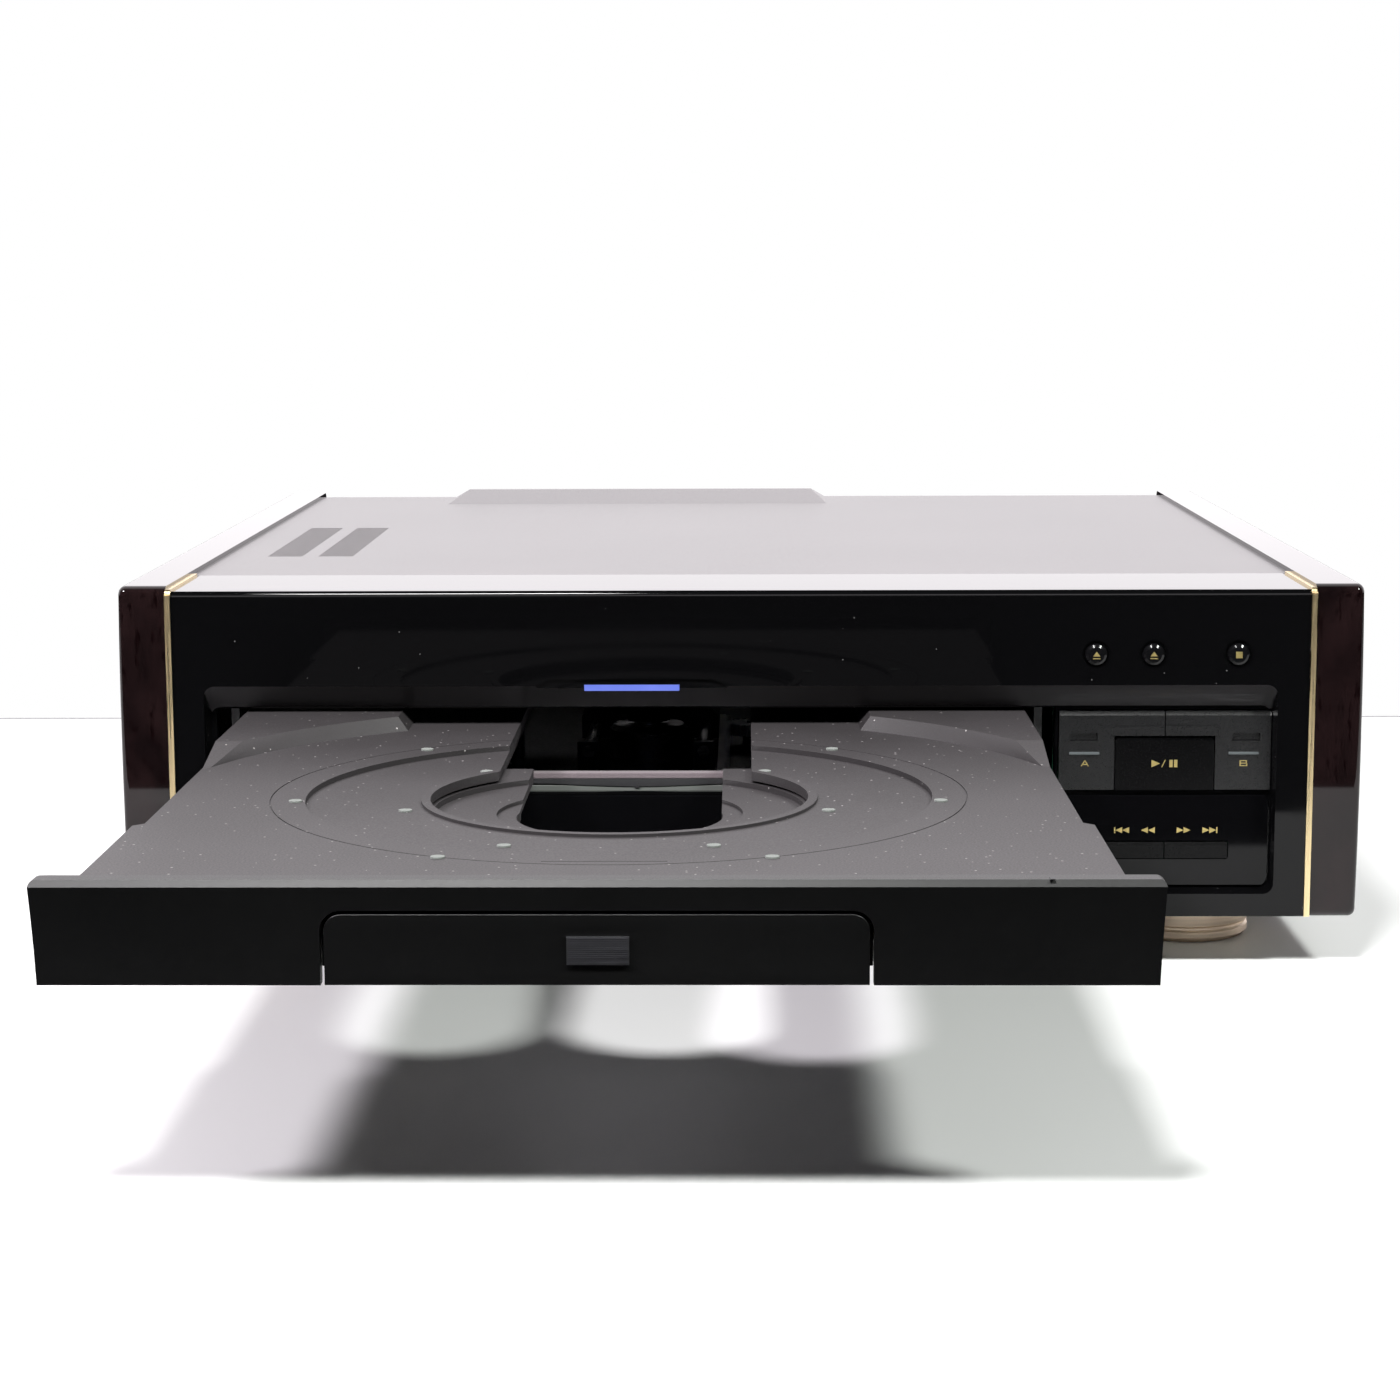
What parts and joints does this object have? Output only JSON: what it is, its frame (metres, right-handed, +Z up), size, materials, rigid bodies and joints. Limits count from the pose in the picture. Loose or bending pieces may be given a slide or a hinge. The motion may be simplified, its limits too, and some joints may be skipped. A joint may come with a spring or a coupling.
{
  "type": "laserdisc player",
  "caption": "Front-loading laserdisc player with gloss black front, wooden sides, a large disc tray drawn out, a small-disc tray inside it, and a geared loader and lifting disc drive.",
  "frame": {"origin": "on the floor under the middle of the player's box with the large tray drawn out", "axes": "+X to the player's right as seen from in front, +Y to its rear, +Z up"},
  "size_m": [0.464, 0.72, 0.1472],
  "materials": {
    "rosewood": "high gloss lacquer",
    "gold_trim": "champagne gold, satin",
    "champagne": "champagne gold, turned satin",
    "gloss_black": "high gloss black",
    "window_black": "tinted gloss",
    "cover_grey": "fine satin",
    "tray_charcoal": "fine grained matte",
    "door_black": "satin",
    "key_black": "satin",
    "felt": "felt",
    "lamp_blue": "lit",
    "zinc": "zinc plated",
    "steel": "turned",
    "dark_steel": "black",
    "moulding": "moulded black",
    "natural_plastic": "moulded",
    "rubber": "matt",
    "board_green": "solder mask",
    "tube_glass": "clear",
    "iron": "varnished laminations",
    "foot_felt": "felt",
    "lens_glass": "coated",
    "gold_plate": "plated"
  },
  "bodies": {
    "body": {"side_panel_left": "rosewood", "side_panel_right": "rosewood", "trim_left": "gold_trim", "trim_right": "gold_trim", "top_cover": "cover_grey", "base_chassis": "zinc", "foot_front_left": "champagne", "foot_front_right": "champagne", "foot_rear_left": "champagne", "foot_rear_right": "champagne", "foot_pads": "foot_felt", "rear_panel": "dark_steel", "av_sockets": "gold_plate", "s_video_socket": "moulding", "mains_inlet": "moulding", "cover_screws": "dark_steel", "front_panel": "gloss_black", "display_window": "window_black", "light_bar": "lamp_blue", "loader_frame": "moulding", "clamp_bridge": "zinc", "deck_posts": "steel", "main_board": "board_green", "power_board": "board_green", "transformer": "iron", "upper_board": "board_green", "display_board": "board_green", "display_tube": "tube_glass", "key_board": "board_green", "loading_motor": "steel", "drive_belt": "rubber"},
    "large_tray": {"large_tray": "tray_charcoal", "large_tray_door": "door_black", "large_tray_pads": "felt", "tray_rack": "natural_plastic"},
    "small_tray": {"small_tray": "tray_charcoal", "small_tray_door": "door_black"},
    "drive_gear": {"drive_gear": "natural_plastic"},
    "motor_pulley": {"motor_pulley": "natural_plastic"},
    "lift_deck": {"lift_deck": "zinc", "guide_rods": "steel", "spindle_motor": "steel", "feed_motor": "steel"},
    "turntable": {"turntable": "moulding"},
    "pickup": {"pickup_carriage": "moulding", "pickup_lens": "lens_glass", "feed_rack": "natural_plastic"},
    "feed_gear": {"feed_gear": "natural_plastic"},
    "clamper": {"clamper": "moulding"},
    "small_disc_eject_button": {"small_disc_eject_button": "key_black"},
    "large_disc_eject_button": {"large_disc_eject_button": "key_black"},
    "stop_button": {"stop_button": "key_black"},
    "key_a": {"key_a": "key_black"},
    "key_b": {"key_b": "key_black"},
    "play_key": {"play_key": "key_black"},
    "rocker_left": {"rocker_left": "key_black"},
    "rocker_right": {"rocker_right": "key_black"},
    "power_key": {"power_key": "key_black"}
  },
  "joints": [
    {"name": "large_tray_slide", "type": "slide", "parent": "body", "child": "large_tray", "axis": [0, 1, 0], "range_m": [0, 0.298]},
    {"name": "small_tray_slide", "type": "slide", "parent": "large_tray", "child": "small_tray", "axis": [0, -1, 0], "range_m": [0, 0.215]},
    {"name": "drive_gear_turn", "type": "hinge", "parent": "body", "child": "drive_gear", "pos_m": [-0.1567, -0.032, 0.08], "axis": [0, 0, 1], "continuous": true},
    {"name": "motor_pulley_turn", "type": "hinge", "parent": "body", "child": "motor_pulley", "pos_m": [-0.1567, 0.026, 0.073], "axis": [0, 0, 1], "continuous": true},
    {"name": "deck_lift", "type": "slide", "parent": "body", "child": "lift_deck", "axis": [0, 0, 1], "range_m": [0, 0.016]},
    {"name": "turntable_spin", "type": "hinge", "parent": "lift_deck", "child": "turntable", "pos_m": [-0.0392, 0.0955, 0.076], "axis": [0, 0, 1], "continuous": true},
    {"name": "pickup_slide", "type": "slide", "parent": "lift_deck", "child": "pickup", "axis": [0, 1, 0], "range_m": [0, 0.118]},
    {"name": "feed_gear_turn", "type": "hinge", "parent": "lift_deck", "child": "feed_gear", "pos_m": [0.0048, 0.1285, 0.06], "axis": [0, 0, 1], "continuous": true},
    {"name": "clamper_lift", "type": "slide", "parent": "body", "child": "clamper", "axis": [0, 0, 1], "range_m": [0, 0.004]},
    {"name": "small_disc_eject_button_press", "type": "slide", "parent": "body", "child": "small_disc_eject_button", "axis": [0, 1, 0], "range_m": [0, 0.001], "stiffness_N_per_m": 800, "springref_m": -0.0004},
    {"name": "large_disc_eject_button_press", "type": "slide", "parent": "body", "child": "large_disc_eject_button", "axis": [0, 1, 0], "range_m": [0, 0.001], "stiffness_N_per_m": 800, "springref_m": -0.0004},
    {"name": "stop_button_press", "type": "slide", "parent": "body", "child": "stop_button", "axis": [0, 1, 0], "range_m": [0, 0.001], "stiffness_N_per_m": 800, "springref_m": -0.0004},
    {"name": "key_a_press", "type": "slide", "parent": "body", "child": "key_a", "axis": [0, 1, 0], "range_m": [0, 0.001], "stiffness_N_per_m": 800, "springref_m": -0.0004},
    {"name": "key_b_press", "type": "slide", "parent": "body", "child": "key_b", "axis": [0, 1, 0], "range_m": [0, 0.001], "stiffness_N_per_m": 800, "springref_m": -0.0004},
    {"name": "play_key_press", "type": "slide", "parent": "body", "child": "play_key", "axis": [0, 1, 0], "range_m": [0, 0.001], "stiffness_N_per_m": 800, "springref_m": -0.0004},
    {"name": "power_key_press", "type": "slide", "parent": "body", "child": "power_key", "axis": [0, 1, 0], "range_m": [0, 0.001], "stiffness_N_per_m": 800, "springref_m": -0.0004},
    {"name": "rocker_left_rock", "type": "hinge", "parent": "body", "child": "rocker_left", "pos_m": [0.1482, -0.0572, 0.0435], "axis": [0, 0, 1], "range_deg": [-2, 2], "stiffness_Nm_per_rad": 0.2},
    {"name": "rocker_right_rock", "type": "hinge", "parent": "body", "child": "rocker_right", "pos_m": [0.1722, -0.0572, 0.0435], "axis": [0, 0, 1], "range_deg": [-2, 2], "stiffness_Nm_per_rad": 0.2}
  ],
  "couplings": [
    {"joint": "drive_gear_turn", "follows": "large_tray_slide", "rad_per_m": -66.667},
    {"joint": "motor_pulley_turn", "follows": "large_tray_slide", "rad_per_m": -240},
    {"joint": "feed_gear_turn", "follows": "pickup_slide", "rad_per_m": -100}
  ]
}
